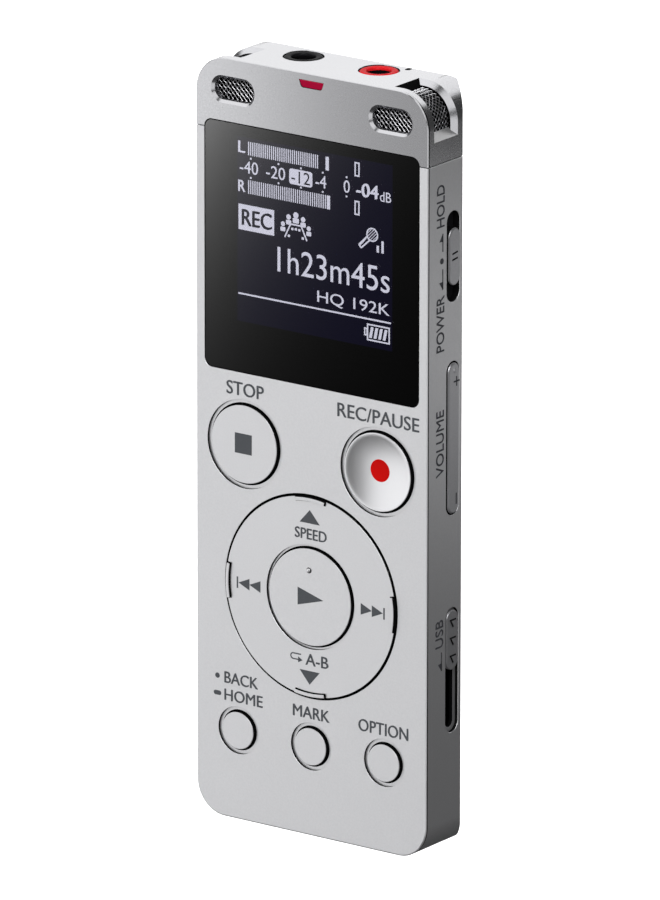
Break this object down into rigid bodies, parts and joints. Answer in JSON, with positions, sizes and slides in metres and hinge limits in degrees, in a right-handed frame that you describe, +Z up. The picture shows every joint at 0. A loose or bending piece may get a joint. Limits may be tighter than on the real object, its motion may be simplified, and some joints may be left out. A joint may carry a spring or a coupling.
{
  "type": "handheld voice recorder",
  "caption": "Slim upright handheld voice recorder with a front display, round keys, corner stereo microphones, top jacks, side switches and a slide-out USB plug.",
  "frame": {"origin": "centre of the bottom end, on the face it stands on", "axes": "+X to the right across the front, +Y from the front face to the back, +Z up towards the microphone head"},
  "size_m": [0.0369, 0.0112, 0.102],
  "materials": {
    "silver_shell": "fine bead-blasted, silver anodised",
    "silver_key": "satin silver-coated moulding",
    "side_knob": "satin silver-coated moulding",
    "window": "polished acrylic, black printed behind",
    "display_glass": "glass display panel",
    "black_plastic": "moulded",
    "grille_mesh": "woven wire mesh, polished wires over black felt",
    "red_plastic": "moulded, glossy",
    "ruby_lens": "tinted clear moulding",
    "circuit_board": "green solder mask",
    "plated_steel": "nickel plated",
    "gold_contact": "gold plated",
    "battery_foil": "laminated pouch foil",
    "rubber": "moulded silicone rubber",
    "pale_film": "printed polyester film"
  },
  "bodies": {
    "case": {"front_case": "silver_shell", "back_case": "silver_shell", "top_cap": "silver_shell", "display_window": "window", "display_holder": "black_plastic", "oled_panel": "display_glass", "dome_sheet": "pale_film", "main_board": "circuit_board", "hold_switch": "plated_steel", "volume_switch_up": "plated_steel", "volume_switch_down": "plated_steel", "mic_grille_left": "grille_mesh", "mic_boot_left": "rubber", "mic_capsule_left": "plated_steel", "mic_grille_right": "grille_mesh", "mic_boot_right": "rubber", "mic_capsule_right": "plated_steel", "headphone_socket": "black_plastic", "headphone_ring": "black_plastic", "mic_socket": "black_plastic", "mic_ring": "red_plastic", "operation_lens": "ruby_lens", "operation_led": "pale_film", "card_socket": "plated_steel", "battery_pack": "battery_foil", "battery_pad": "rubber", "main_chip": "black_plastic", "memory_chip": "black_plastic", "speaker": "black_plastic", "speaker_gasket": "rubber", "board_screw_1": "plated_steel", "board_screw_2": "plated_steel", "board_screw_3": "plated_steel", "board_screw_4": "plated_steel", "case_screw_1": "plated_steel", "case_screw_2": "plated_steel"},
    "stop_key": {"stop_button": "silver_key"},
    "rec_key": {"rec_button": "silver_key"},
    "nav_pivot": {"nav_gimbal": "black_plastic"},
    "nav_key": {"nav_ring": "silver_key"},
    "play_key": {"play_button": "silver_key"},
    "back_key": {"back_button": "silver_key"},
    "mark_key": {"mark_button": "silver_key"},
    "option_key": {"option_button": "silver_key"},
    "hold_slider": {"hold_knob": "side_knob", "hold_slide_plate": "black_plastic"},
    "volume_key": {"volume_rocker": "side_knob"},
    "usb_plug": {"usb_knob": "side_knob", "usb_carrier": "black_plastic", "usb_shell": "plated_steel", "usb_tongue": "black_plastic", "usb_contact_1": "gold_contact", "usb_contact_2": "gold_contact", "usb_contact_3": "gold_contact", "usb_contact_4": "gold_contact"},
    "card_door": {"card_cover": "silver_key"}
  },
  "joints": [
    {"name": "stop_press", "type": "slide", "parent": "case", "child": "stop_key", "axis": [0, 1, 0], "range_m": [0, 0.00035], "stiffness_N_per_m": 3000},
    {"name": "rec_press", "type": "slide", "parent": "case", "child": "rec_key", "axis": [0, 1, 0], "range_m": [0, 0.00035], "stiffness_N_per_m": 3000},
    {"name": "play_press", "type": "slide", "parent": "case", "child": "play_key", "axis": [0, 1, 0], "range_m": [0, 0.00035], "stiffness_N_per_m": 3000},
    {"name": "back_press", "type": "slide", "parent": "case", "child": "back_key", "axis": [0, 1, 0], "range_m": [0, 0.00035], "stiffness_N_per_m": 3000},
    {"name": "mark_press", "type": "slide", "parent": "case", "child": "mark_key", "axis": [0, 1, 0], "range_m": [0, 0.00035], "stiffness_N_per_m": 3000},
    {"name": "option_press", "type": "slide", "parent": "case", "child": "option_key", "axis": [0, 1, 0], "range_m": [0, 0.00035], "stiffness_N_per_m": 3000},
    {"name": "nav_tilt_up_down", "type": "hinge", "parent": "case", "child": "nav_pivot", "pos_m": [0, -0.00365, 0.03235], "axis": [1, 0, 0], "range_deg": [-1.5, 1.5], "stiffness_Nm_per_rad": 0.42},
    {"name": "nav_tilt_left_right", "type": "hinge", "parent": "nav_pivot", "child": "nav_key", "pos_m": [0, -0.00365, 0.03235], "axis": [0, 0, 1], "range_deg": [-1.5, 1.5], "stiffness_Nm_per_rad": 0.42},
    {"name": "hold_slide", "type": "slide", "parent": "case", "child": "hold_slider", "axis": [0, 0, 1], "range_m": [-0.0021, 0.0021]},
    {"name": "volume_rock", "type": "hinge", "parent": "case", "child": "volume_key", "pos_m": [0.0169, 0.00035, 0.05555], "axis": [0, 1, 0], "range_deg": [-1.5, 1.5], "stiffness_Nm_per_rad": 0.49},
    {"name": "usb_slide", "type": "slide", "parent": "case", "child": "usb_plug", "axis": [0, 0, -1], "range_m": [0, 0.0083]},
    {"name": "card_cover_hinge", "type": "hinge", "parent": "case", "child": "card_door", "pos_m": [-0.0183, -0.00065, 0.0615], "axis": [0, -1, 0], "range_deg": [0, 95]}
  ]
}
